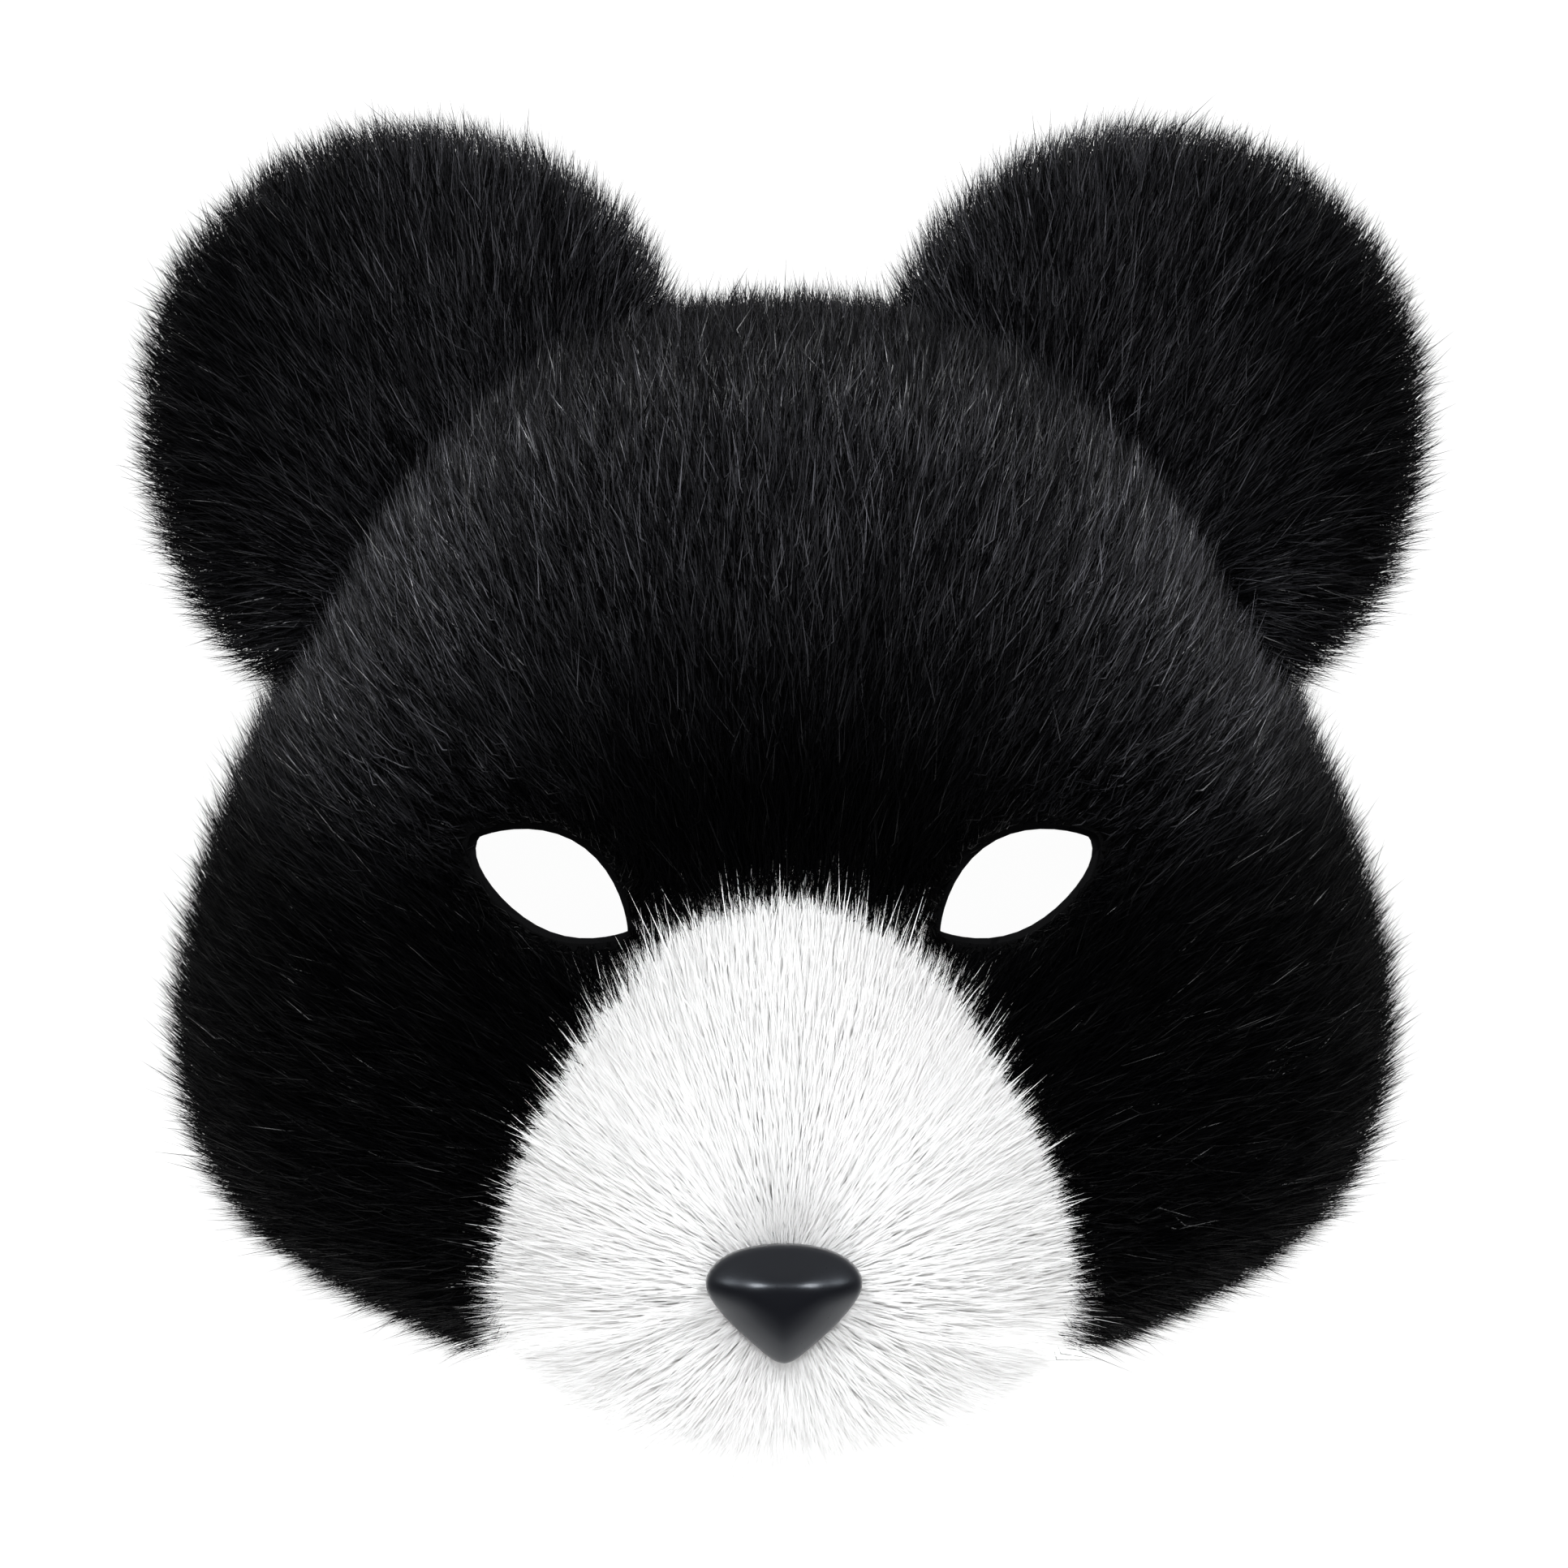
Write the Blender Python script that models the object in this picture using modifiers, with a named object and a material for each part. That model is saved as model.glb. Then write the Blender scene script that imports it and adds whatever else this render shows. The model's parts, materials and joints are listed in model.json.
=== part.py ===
# Bear mask: a moulded wall under long-pile plush, with padded ears and a moulded nose.
# The mask lies face up on its rim: X across, +Y to the crown, +Z out of the face, metres.

from math import atan2, cos, hypot, pi, radians, sin
from random import Random

import bmesh
import bpy
import numpy as np
from mathutils import Vector

MM = 0.001

# Clearances and walls
GAP = 0.3 * MM              # between pieces that touch
WALL = 2.0 * MM             # moulded wall
BACKING = 1.5 * MM          # plush with its pile pressed flat
MERGE = 0.02 * MM

# Outline of the moulded wall, seen from the front
HALF_WIDTH = 90.8 * MM      # centre line to cheek
CROWN_RISE = 148.2 * MM     # nose to crown
CHIN_DROP = 22.4 * MM       # nose to chin edge

# Depths above the floor that the rim lies on
FOREHEAD_HEIGHT = 62.0 * MM
FOREHEAD_RISE = 96.0 * MM   # nose to the forehead's highest place
SNOUT_HEIGHT = 90.0 * MM
SIDE_FALL = 26.0 * MM       # relief lost from the centre line to the cheek
CROWN_FALL = 7.0 * MM       # relief lost from the forehead to the crown
CHEEK_FALL = 7.0 * MM       # relief lost from the forehead to the nose's level
EDGE_ROLL = 22.0 * MM       # width over which the face turns down to its rim
SNOUT_FULLNESS = 1.3        # power of the snout's section: under 1 is full, over 1 is slender
CHIN_FULLNESS = 0.55        # the same under the nose
SKIRT = 4.0 * MM            # upright edge above the rim
CROWN_ARCH = 14.0 * MM      # how far the rim rises at the crown
CHIN_ARCH = 22.0 * MM       # how far the rim rises under the snout

# Snout
SEAM_RISE = 54.8 * MM       # nose to the seam above it
SEAT_RADIUS = 9.0 * MM      # flat place that the nose sits on
POST_RADIUS = 3.0 * MM
POST_CLEARANCE = 1.0 * MM
POST_HEAD_RADIUS = 6.0 * MM
POST_HEAD_DEPTH = 1.5 * MM

# Nose
NOSE_HALF_WIDTH = 12.0 * MM
NOSE_HALF_HEIGHT = 9.1 * MM
NOSE_DEPTH = 10.5 * MM
NOSE_DROP = 1.2 * MM        # post to the nose's middle, downwards
NOSE_RIDGE = 2.0 * MM       # height of its ridge over its middle
NOSE_TOP_FALL = 0.42        # depth lost from the ridge to the top, the tip and the sides, as shares
NOSE_TIP_FALL = 0.50
NOSE_SIDE_FALL = 0.28

# Eye holes
EYE_ACROSS = 36.4 * MM      # centre line to the middle of a hole
EYE_RISE = 62.0 * MM        # nose to the middle of a hole
EYE_HALF_LENGTH = 13.9 * MM
EYE_UPPER = 7.5 * MM
EYE_LOWER = 7.0 * MM
EYE_TILT = radians(32.0)
EYE_UPPER_POINT = 0.9       # power of the hole's outline: 0.5 is round, 1 is pointed
EYE_LOWER_POINTS = (0.5, 0.9)   # its lower side's, at the outer and the inner end
EYE_MARGIN = 1.2 * MM       # plush cut back round a hole
SOCKET_DEPTH = 7.0 * MM
SOCKET_HALF_LENGTH = 26.0 * MM
SOCKET_HALF_WIDTH = 18.0 * MM

# Ears
EAR_ANGLE = radians(67.2)   # round the nose, from the cheek's level up
EAR_STAND = 14.0 * MM       # wall's edge to the middle of an ear
EAR_RADIUS = 38.5 * MM
EAR_THICKNESS = 13.0 * MM
EAR_HEIGHT = 12.0 * MM      # floor to the back of an ear
EAR_HANG = 7.0 * MM         # how far the lower outer side goes past the round
EAR_HANG_ANGLE = radians(-70.0)  # where it goes furthest, on the right ear
EAR_HANG_SPREAD = 4         # a larger power narrows it

# Locks of the pile
LOCK_RISE = 6.0 * MM
LOCK_LEAN = 3.5 * MM
SNOUT_LOCK_RISE = 5.0 * MM
SNOUT_LOCK_LEAN = 2.1 * MM
COMB_DOWN = 0.3             # how far the pile hangs down as it runs out, as a share
LOCK_SPREAD = 0.3           # how unlike each other the locks are, as a share of their rise
LOCK_SEED = 11
FLOOR_CLEARANCE = 1.0 * MM

# Angles round the nose, from the cheek's level up
CROWN_ARCH_START = radians(58.0)
CROWN_ARCH_SPREAD = radians(28.0)
CHIN_ARCH_START = radians(-2.0)
CHIN_ARCH_SPREAD = radians(36.0)
PLUSH_END_WIDTH = 5.0 * MM  # width of the face's plush at its lower ends

# Divisions
CHIN_COLUMNS = 7            # half the chin
FACE_COLUMNS = 24           # half the face
SNOUT_RINGS = 5
FACE_RINGS = 8
EAR_COLUMNS = 28
EYE_POINTS = 36
NOSE_POINTS = 28

# Half the wall's outline, as shares of HALF_WIDTH and CROWN_RISE (CHIN_DROP below the nose)
OUTLINE = (
    # place, across, up
    ("chin", 0.000, -1.000),
    ("chin side", 0.300, -0.740),
    ("jaw", 0.491, -0.286),
    ("cheek under", 0.718, 0.018),
    ("cheek turn", 0.935, 0.111),
    ("cheek low", 0.991, 0.217),
    ("cheek", 1.000, 0.290),
    ("cheek top", 0.961, 0.403),
    ("temple", 0.882, 0.536),
    ("temple top", 0.751, 0.698),
    ("ear seat", 0.600, 0.846),
    ("crown side", 0.399, 0.951),
    ("crown near", 0.183, 0.988),
    ("crown", 0.000, 1.000),
)

# Seam between the snout's plush and the face's, round the nose
SEAM = (
    # place, angle in degrees, share of SEAM_RISE
    ("side low", -15.0, 0.735),
    ("side", 10.0, 0.726),
    ("side high", 31.0, 0.737),
    ("shoulder", 47.0, 0.765),
    ("shoulder top", 60.0, 0.835),
    ("bridge side", 75.0, 0.930),
    ("bridge", 90.0, 1.000),
)

# Half the nose's outline, as shares of its half width and half height
NOSE_OUTLINE = (
    # place, across, up
    ("top", 0.00, 1.00),
    ("top side", 0.40, 0.97),
    ("shoulder", 0.72, 0.82),
    ("wing top", 0.95, 0.60),
    ("wing", 1.00, 0.40),
    ("wing under", 0.90, 0.07),
    ("side", 0.72, -0.26),
    ("lower side", 0.42, -0.66),
    ("tip side", 0.16, -0.93),
    ("tip", 0.00, -1.00),
)

# The nose's loops over its seat, outline share and share of the front's height there
NOSE_LOOPS = (
    # place, outline share, height share
    ("back", 0.86, 0.00),
    ("side low", 0.97, 0.18),
    ("side", 1.00, 0.45),
    ("edge", 0.95, 0.80),
    ("front edge", 0.86, 0.94),
    ("front", 0.62, 1.00),
    ("middle", 0.32, 1.00),
)

# Half an ear's section, as shares of its radius and half thickness
EAR_SECTION = (
    # place, radius, height
    ("front middle", 0.00, 1.00),
    ("front", 0.42, 1.00),
    ("front edge", 0.76, 0.86),
    ("rim front", 0.94, 0.50),
    ("rim", 1.00, 0.00),
    ("rim back", 0.94, -0.50),
    ("back edge", 0.76, -0.86),
    ("back", 0.42, -1.00),
    ("back middle", 0.00, -1.00),
)


def clear_scene():
    for obj in list(bpy.data.objects):
        bpy.data.objects.remove(obj, do_unlink=True)


def new_collection(name):
    collection = bpy.data.collections.new(name)
    bpy.context.scene.collection.children.link(collection)
    return collection


def new_material(name, colour, roughness):
    material = bpy.data.materials.new(name)
    material.use_nodes = True
    shader = material.node_tree.nodes["Principled BSDF"]
    shader.inputs["Base Color"].default_value = (*colour, 1.0)
    shader.inputs["Roughness"].default_value = roughness
    shader.inputs["Metallic"].default_value = 0.0
    return material


def new_object(name, bm, collection, material=None):
    mesh = bpy.data.meshes.new(name)
    bm.to_mesh(mesh)
    bm.free()
    obj = bpy.data.objects.new(name, mesh)
    collection.objects.link(obj)
    if material:
        mesh.materials.append(material)
    return obj


def hide_cutter(obj):
    obj.hide_render = True
    obj.display_type = "WIRE"
    return obj


def cut(obj, cutter):
    modifier = obj.modifiers.new("Cut " + cutter.name, "BOOLEAN")
    modifier.operation = "DIFFERENCE"
    modifier.solver = "EXACT"
    modifier.object = cutter


def ease(value):
    # 0 below 0, 1 above 1, smooth between
    share = min(max(value, 0.0), 1.0)
    return share * share * (3.0 - 2.0 * share)


def smooth_path(points, steps):
    # A Catmull-Rom curve through the points, its ends mirrored in the first coordinate
    first = np.array([-points[1][0], points[1][1]])
    last = np.array([-points[-2][0], points[-2][1]])
    knots = np.vstack([first, np.array(points), last])
    path = []
    for a, b, c, d in zip(knots, knots[1:], knots[2:], knots[3:]):
        for step in range(steps):
            t = step / steps
            path.append(0.5 * (2.0 * b + (c - a) * t + (2.0 * a - 5.0 * b + 4.0 * c - d) * t ** 2
                               + (3.0 * b - a - 3.0 * c + d) * t ** 3))
    path.append(knots[-2])
    return np.array(path)


def lengths_along(path):
    steps = np.linalg.norm(np.diff(path, axis=0), axis=1)
    return np.concatenate([[0.0], np.cumsum(steps)])


def even_points(path, count):
    # count + 1 points at equal steps along a path
    length = lengths_along(path)
    wanted = np.linspace(0.0, length[-1], count + 1)
    return np.column_stack([np.interp(wanted, length, path[:, axis]) for axis in (0, 1)])


def wall_outline():
    rows = [(across * HALF_WIDTH, up * (CROWN_RISE if up > 0.0 else CHIN_DROP))
            for place, across, up in OUTLINE]
    return smooth_path(rows, 16)


def seam_line():
    angles = [radians(angle) for place, angle, share in SEAM]
    reaches = [share * SEAM_RISE for place, angle, share in SEAM]
    fine = np.linspace(angles[0], angles[-1], 60)
    rough = np.interp(fine, angles, reaches)
    spread = 4
    kernel = np.ones(2 * spread + 1) / (2 * spread + 1)
    return fine, np.convolve(np.pad(rough, spread, mode="edge"), kernel, mode="valid")


WALL_PATH = wall_outline()
WALL_ANGLES = np.arctan2(WALL_PATH[:, 1], WALL_PATH[:, 0])
WALL_REACHES = np.hypot(WALL_PATH[:, 0], WALL_PATH[:, 1])
SEAM_ANGLES, SEAM_REACHES = seam_line()


def edge_reach(angle):
    return float(np.interp(angle, WALL_ANGLES, WALL_REACHES))


def seam_angle(width):
    # The lowest angle at which the face's plush is this wide between the seam and the wall's edge
    for angle in np.linspace(-pi / 3.0, pi / 3.0, 2000):
        if edge_reach(angle) - float(np.interp(angle, SEAM_ANGLES, SEAM_REACHES)) > width:
            return float(angle)
    return pi / 3.0


CHIN_END = seam_angle(0.0)
FACE_END = seam_angle(PLUSH_END_WIDTH)
EAR_ACROSS = (edge_reach(EAR_ANGLE) + EAR_STAND) * cos(EAR_ANGLE)
EAR_RISE = (edge_reach(EAR_ANGLE) + EAR_STAND) * sin(EAR_ANGLE)


def seam_reach(angle):
    # Below the cheeks the snout's plush runs to the wall's edge
    if angle <= CHIN_END:
        return edge_reach(angle)
    return min(float(np.interp(angle, SEAM_ANGLES, SEAM_REACHES)), edge_reach(angle))


def rim_height(angle):
    crown = CROWN_ARCH * ease((angle - CROWN_ARCH_START) / CROWN_ARCH_SPREAD)
    chin = CHIN_ARCH * ease((CHIN_ARCH_START - angle) / CHIN_ARCH_SPREAD)
    return crown + chin


def eye_place(x, y):
    # A point in the nearer eye hole's own axes: along it towards the snout, and up
    dx = EYE_ACROSS - abs(x)
    dy = y - EYE_RISE
    along = dx * cos(EYE_TILT) - dy * sin(EYE_TILT)
    up = dx * sin(EYE_TILT) + dy * cos(EYE_TILT)
    return along, up


def face_relief(x, y):
    # Height of the face before its edge turns down, with y from the nose's level
    height = FOREHEAD_HEIGHT - SIDE_FALL * (x / HALF_WIDTH) ** 2
    if y > FOREHEAD_RISE:
        height -= CROWN_FALL * ((y - FOREHEAD_RISE) / (CROWN_RISE - FOREHEAD_RISE)) ** 2
    else:
        height -= CHEEK_FALL * ((FOREHEAD_RISE - y) / FOREHEAD_RISE) ** 2
    along, up = eye_place(x, y)
    spread = (along / SOCKET_HALF_LENGTH) ** 2 + (up / SOCKET_HALF_WIDTH) ** 2
    return height - SOCKET_DEPTH * float(np.exp(-2.0 * spread))


def face_height(angle, reach):
    edge = edge_reach(angle)
    base = rim_height(angle) + SKIRT
    inward = min((edge - reach) / EDGE_ROLL, 1.0)
    turn = (max(0.0, 1.0 - (1.0 - inward) ** 2)) ** 0.5
    relief = face_relief(reach * cos(angle), reach * sin(angle))
    return base + (relief - base) * turn


def snout_height(angle, reach):
    seam = seam_reach(angle)
    foot = face_height(angle, seam)
    share = min(max((reach - SEAT_RADIUS) / (seam - SEAT_RADIUS), 0.0), 1.0)
    under = ease((FACE_END - angle) / CHIN_ARCH_SPREAD)
    fullness = SNOUT_FULLNESS + (CHIN_FULLNESS - SNOUT_FULLNESS) * under
    return foot + (SNOUT_HEIGHT - foot) * (1.0 - share * share) ** fullness


def column(angle):
    # One column of the wall's outer surface, as reach and height, from the post's hole to the rim
    seam = seam_reach(angle)
    edge = edge_reach(angle)
    steps = np.sin(np.linspace(0.0, pi / 2.0, 90))
    snout = [(reach, snout_height(angle, reach)) for reach in SEAT_RADIUS + (seam - SEAT_RADIUS) * steps]
    face = [(reach, face_height(angle, reach)) for reach in seam + (edge - seam) * steps]
    hole = [(POST_RADIUS + POST_CLEARANCE, SNOUT_HEIGHT)]
    snout_rows = even_points(np.array(snout), SNOUT_RINGS)
    face_rows = even_points(np.array(face), FACE_RINGS)[1:]
    rim = [(edge, rim_height(angle))]
    return np.vstack([hole, snout_rows, face_rows, rim])


SEAM_RING = SNOUT_RINGS + 1
SKIRT_RING = SEAM_RING + FACE_RINGS
RIM_RING = SKIRT_RING + 1


def column_angles():
    # Half the columns, chin to crown, at equal steps along the wall's outline
    length = lengths_along(WALL_PATH)

    def between(start, end, count):
        ends = np.interp([start, end], WALL_ANGLES, length)
        return list(np.interp(np.linspace(ends[0], ends[1], count + 1), length, WALL_ANGLES))

    chin = between(-pi / 2.0, CHIN_END, CHIN_COLUMNS)
    face = between(FACE_END, pi / 2.0, FACE_COLUMNS)
    return chin + face


def wall_grid():
    # Points and outward directions of the wall's outer surface, a row for each column
    half = column_angles()
    columns = [(angle, 1.0) for angle in half]
    columns += [(angle, -1.0) for angle in reversed(half[:-1])]
    points = []
    for angle, side in columns:
        rows = column(angle)
        points.append([(side * reach * cos(angle), reach * sin(angle), height) for reach, height in rows])
    points = np.array(points)
    around = np.roll(points[:-1], -1, axis=0) - np.roll(points[:-1], 1, axis=0)
    around = np.vstack([around, around[:1]])
    along = np.gradient(points, axis=1)
    outward = np.cross(along, around)
    size = np.linalg.norm(outward, axis=2, keepdims=True)
    outward = outward / np.maximum(size, 1e-12)
    return points, outward


POINTS, OUTWARD = wall_grid()
LAST_COLUMN = len(POINTS) - 1
FIRST_FACE = CHIN_COLUMNS + 1
ALL_COLUMNS = list(range(LAST_COLUMN + 1))
PLUSH_COLUMNS = list(range(FIRST_FACE, LAST_COLUMN - FIRST_FACE + 1))


def sheet(columns, rings, lift):
    # An open sheet over the wall, its faces outward, with each point's outward direction kept on it
    bm = bmesh.new()
    outward = bm.verts.layers.float_vector.new("outward")
    across = len(columns) - 1
    along = len(rings) - 1
    bmesh.ops.create_grid(bm, x_segments=across, y_segments=along, size=0.5)
    for vert in bm.verts:
        place = (columns[round((vert.co.x + 0.5) * across)], rings[round((vert.co.y + 0.5) * along)])
        vert[outward] = Vector(OUTWARD[place])
        vert.co = Vector(POINTS[place]) + vert[outward] * lift
    bmesh.ops.remove_doubles(bm, verts=bm.verts, dist=MERGE)
    bmesh.ops.reverse_faces(bm, faces=bm.faces)
    return bm, outward


def split_quads(bm, faces):
    # The wall and the plush over it split their quads along the same diagonals
    bmesh.ops.triangulate(bm, faces=faces, quad_method="FIXED", ngon_method="BEAUTY")


def make_wall(collection, cutters):
    bm, outward = sheet(ALL_COLUMNS, list(range(RIM_RING + 1)), 0.0)
    split_quads(bm, bm.faces[:])
    material = new_material("moulded_wall", (0.012, 0.012, 0.014), 0.75)
    wall = new_object("mask_shell", bm, collection, material)
    solid = wall.modifiers.new("Wall", "SOLIDIFY")
    solid.thickness = WALL
    solid.offset = -1.0
    for cutter in cutters:
        cut(wall, cutter)
    return wall


def comb_direction(place, normal):
    # The pile is combed away from the nose, over the surface and down its sides
    away = Vector((place.x, place.y, -COMB_DOWN * hypot(place.x, place.y))).normalized()
    away -= normal * away.dot(normal)
    return away.normalized()


def lock_chance(place):
    # A seeded draw for each lock, the same on both halves of the mask
    cell = 0.5 * MM
    return Random(f"{LOCK_SEED} {round(abs(place.x) / cell)} {round(place.y / cell)}")


def eye_fade(place):
    # No locks on the faces that an eye hole cuts, and full ones an eye's width away
    along, up = eye_place(place.x, place.y)
    spread = hypot(along / (EYE_HALF_LENGTH + EYE_MARGIN), up / (EYE_UPPER + EYE_MARGIN))
    return ease((spread - 1.35) / 0.7)


def ear_reach(across, rise):
    # From the right ear's middle to its edge, in the way that the two lengths give
    away = max(hypot(across, rise), MERGE)
    share = (across * cos(EAR_HANG_ANGLE) + rise * sin(EAR_HANG_ANGLE)) / away
    return EAR_RADIUS + EAR_HANG * max(share, 0.0) ** EAR_HANG_SPREAD


def ear_fade(place):
    # No locks where an ear is seated, nor above it as far as their tips would hang
    across = abs(place.x) - EAR_ACROSS
    rise = place.y - EAR_RISE
    beside = ease((hypot(across, rise) - ear_reach(across, rise) - LOCK_RISE) / LOCK_RISE)
    above = ease((place.z - EAR_HEIGHT - EAR_THICKNESS - LOCK_RISE - LOCK_LEAN) / LOCK_RISE)
    return max(beside, above)


def raise_locks(bm, faces, rise, lean, fade):
    # Each face gets a point, raised and leaned along the comb: one lock of the pile
    made = bmesh.ops.poke(bm, faces=faces, offset=0.0, center_mode="MEAN")
    for tip in made["verts"]:
        chance = lock_chance(tip.co)
        normal = Vector()
        for face in tip.link_faces:
            normal += face.normal
        normal.normalize()
        comb = comb_direction(tip.co, normal)
        twist = chance.uniform(-LOCK_SPREAD, LOCK_SPREAD)
        across = normal.cross(comb) * (twist if tip.co.x > 0.0 else -twist)
        share = fade(tip.co) * (1.0 + chance.uniform(-LOCK_SPREAD, LOCK_SPREAD))
        tip.co += (normal * rise + (comb + across) * lean) * share
        tip.co.z = max(tip.co.z, FLOOR_CLEARANCE)


def plush(columns, rings):
    # Closed backing over part of the wall, with the faces of its outer side
    bm, outward = sheet(columns, rings, GAP)
    inner = bm.faces[:]
    made = bmesh.ops.extrude_face_region(bm, geom=inner)
    for vert in made["geom"]:
        if isinstance(vert, bmesh.types.BMVert):
            vert.co += vert[outward] * BACKING
    outer = [face for face in made["geom"] if isinstance(face, bmesh.types.BMFace)]
    split_quads(bm, inner)
    bmesh.ops.recalc_face_normals(bm, faces=bm.faces)
    return bm, outer


def part_seam(bm, side):
    # Draws a plush's seam edge back from the other plush
    for vert in bm.verts:
        reach = hypot(vert.co.x, vert.co.y)
        seam = seam_reach(atan2(vert.co.y, abs(vert.co.x)))
        if abs(reach - seam) < 2.0 * BACKING:
            away = Vector((vert.co.x, vert.co.y, 0.0)).normalized()
            vert.co += away * side * GAP


def make_face_plush(collection, cutters):
    bm, outer = plush(PLUSH_COLUMNS, list(range(SEAM_RING, SKIRT_RING + 1)))
    part_seam(bm, 1.0)
    raise_locks(bm, outer, LOCK_RISE, LOCK_LEAN, lambda place: min(eye_fade(place), ear_fade(place)))
    material = new_material("black_pile", (0.01, 0.01, 0.012), 0.55)
    fur = new_object("face_fur", bm, collection, material)
    for cutter in cutters:
        cut(fur, cutter)
    return fur


def make_snout_plush(collection):
    bm, outer = plush(ALL_COLUMNS, list(range(SEAM_RING + 1)))
    part_seam(bm, -1.0)
    nose_room = NOSE_HALF_WIDTH + SNOUT_LOCK_RISE

    def fade(place):
        # No locks round the nose, and short ones along the seam
        reach = hypot(place.x, place.y)
        angle = atan2(place.y, abs(place.x))
        clear = ease((reach - nose_room) / LOCK_RISE)
        if angle < FACE_END:
            return max(clear, ease((SNOUT_HEIGHT - place.z) / LOCK_RISE - 1.0))
        return clear * ease((seam_reach(angle) - reach) / LOCK_RISE + 0.4)

    raise_locks(bm, outer, SNOUT_LOCK_RISE, SNOUT_LOCK_LEAN, fade)
    material = new_material("white_pile", (0.85, 0.85, 0.84), 0.6)
    return new_object("muzzle_fur", bm, collection, material)


def make_ear(side, name, collection, cutter, material):
    bm = bmesh.new()
    half = EAR_THICKNESS / 2.0
    verts = [bm.verts.new((share * EAR_RADIUS, 0.0, up * half)) for place, share, up in EAR_SECTION]
    edges = [bm.edges.new(pair) for pair in zip(verts, verts[1:])]
    bmesh.ops.spin(bm, geom=verts + edges, cent=(0.0, 0.0, 0.0), axis=(0.0, 0.0, 1.0),
                   angle=2.0 * pi, steps=EAR_COLUMNS, use_merge=True)
    bmesh.ops.remove_doubles(bm, verts=bm.verts, dist=MERGE)
    bmesh.ops.recalc_face_normals(bm, faces=bm.faces)
    for vert in bm.verts:
        stretch = ear_reach(side * vert.co.x, vert.co.y) / EAR_RADIUS
        vert.co.x *= stretch
        vert.co.y *= stretch
    middle = Vector((side * EAR_ACROSS, EAR_RISE, EAR_HEIGHT + half))
    bmesh.ops.translate(bm, vec=middle, verts=bm.verts)

    def fade(place):
        # The rim's locks are full, the front's shorter, and the back is flat
        if place.z < EAR_HEIGHT + 0.3 * half:
            return 0.0
        across = side * (place.x - middle.x)
        rise = place.y - middle.y
        rim = hypot(across, rise) > 0.8 * ear_reach(across, rise)
        return 1.0 if rim else 0.6

    raise_locks(bm, bm.faces[:], LOCK_RISE, LOCK_LEAN, fade)
    ear = new_object(name, bm, collection, material)
    cut(ear, cutter)
    return ear


def nose_front(x, y):
    # Height of the nose's front over its seat: a ridge, a facet above it and a round below
    above = max(0.0, (y - NOSE_RIDGE) / (NOSE_HALF_HEIGHT - NOSE_RIDGE))
    below = max(0.0, (NOSE_RIDGE - y) / (NOSE_HALF_HEIGHT + NOSE_RIDGE))
    side = abs(x) / NOSE_HALF_WIDTH
    return NOSE_DEPTH * (1.0 - NOSE_TOP_FALL * above - NOSE_TIP_FALL * below ** 2
                         - NOSE_SIDE_FALL * side ** 3)


def make_nose(collection):
    # One piece from the back: the post's head, the post, and the nose's loops
    rows = [(across * NOSE_HALF_WIDTH, up * NOSE_HALF_HEIGHT) for place, across, up in NOSE_OUTLINE]
    half = even_points(smooth_path(rows, 8), NOSE_POINTS // 2)
    outline = list(half) + [(-x, y) for x, y in reversed(half[1:-1])]
    outline = [Vector((x, y, 0.0)) for x, y in outline]
    inner_face = SNOUT_HEIGHT - WALL - GAP
    seat = SNOUT_HEIGHT + GAP + BACKING + GAP

    def ring(radius, height):
        return [point.normalized() * radius + Vector((0.0, 0.0, height)) for point in outline]

    loops = [ring(POST_HEAD_RADIUS, inner_face - POST_HEAD_DEPTH), ring(POST_HEAD_RADIUS, inner_face),
             ring(POST_RADIUS, inner_face), ring(POST_RADIUS, seat)]
    for place, share, up in NOSE_LOOPS:
        points = [point * share for point in outline]
        loops.append([Vector((p.x, p.y - NOSE_DROP, seat + up * nose_front(p.x, p.y))) for p in points])

    bm = bmesh.new()
    face = bm.faces.new([bm.verts.new(point) for point in loops[0]])
    for points in loops[1:]:
        face = bmesh.ops.extrude_discrete_faces(bm, faces=[face])["faces"][0]
        for vert, point in zip(face.verts, points):
            vert.co = point
    bmesh.ops.holes_fill(bm, edges=bm.edges, sides=0)
    bmesh.ops.recalc_face_normals(bm, faces=bm.faces)
    material = new_material("gloss_nose", (0.006, 0.006, 0.008), 0.18)
    return new_object("nose", bm, collection, material)


def make_eye_cutter(side, name, margin, collection):
    # An upright prism with an eye hole's outline: pointed ends, its lower outer side full
    outline = []
    for step in range(EYE_POINTS):
        turn = 2.0 * pi * (step + 0.5) / EYE_POINTS
        along = (EYE_HALF_LENGTH + margin) * cos(turn)
        if sin(turn) > 0.0:
            up = (EYE_UPPER + margin) * sin(turn) ** (2.0 * EYE_UPPER_POINT)
        else:
            outer, inner = EYE_LOWER_POINTS
            point = outer + (inner - outer) * (0.5 + 0.5 * cos(turn))
            up = -(EYE_LOWER + margin) * (-sin(turn)) ** (2.0 * point)
        x = EYE_ACROSS - along * cos(EYE_TILT) - up * sin(EYE_TILT)
        y = EYE_RISE - along * sin(EYE_TILT) + up * cos(EYE_TILT)
        outline.append((side * x, y, 0.0))
    bm = bmesh.new()
    face = bm.faces.new([bm.verts.new(point) for point in outline])
    made = bmesh.ops.extrude_face_region(bm, geom=[face])
    top = [vert for vert in made["geom"] if isinstance(vert, bmesh.types.BMVert)]
    bmesh.ops.translate(bm, vec=(0.0, 0.0, 1.5 * FOREHEAD_HEIGHT), verts=top)
    bmesh.ops.recalc_face_normals(bm, faces=bm.faces)
    return hide_cutter(new_object(name, bm, collection))


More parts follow.
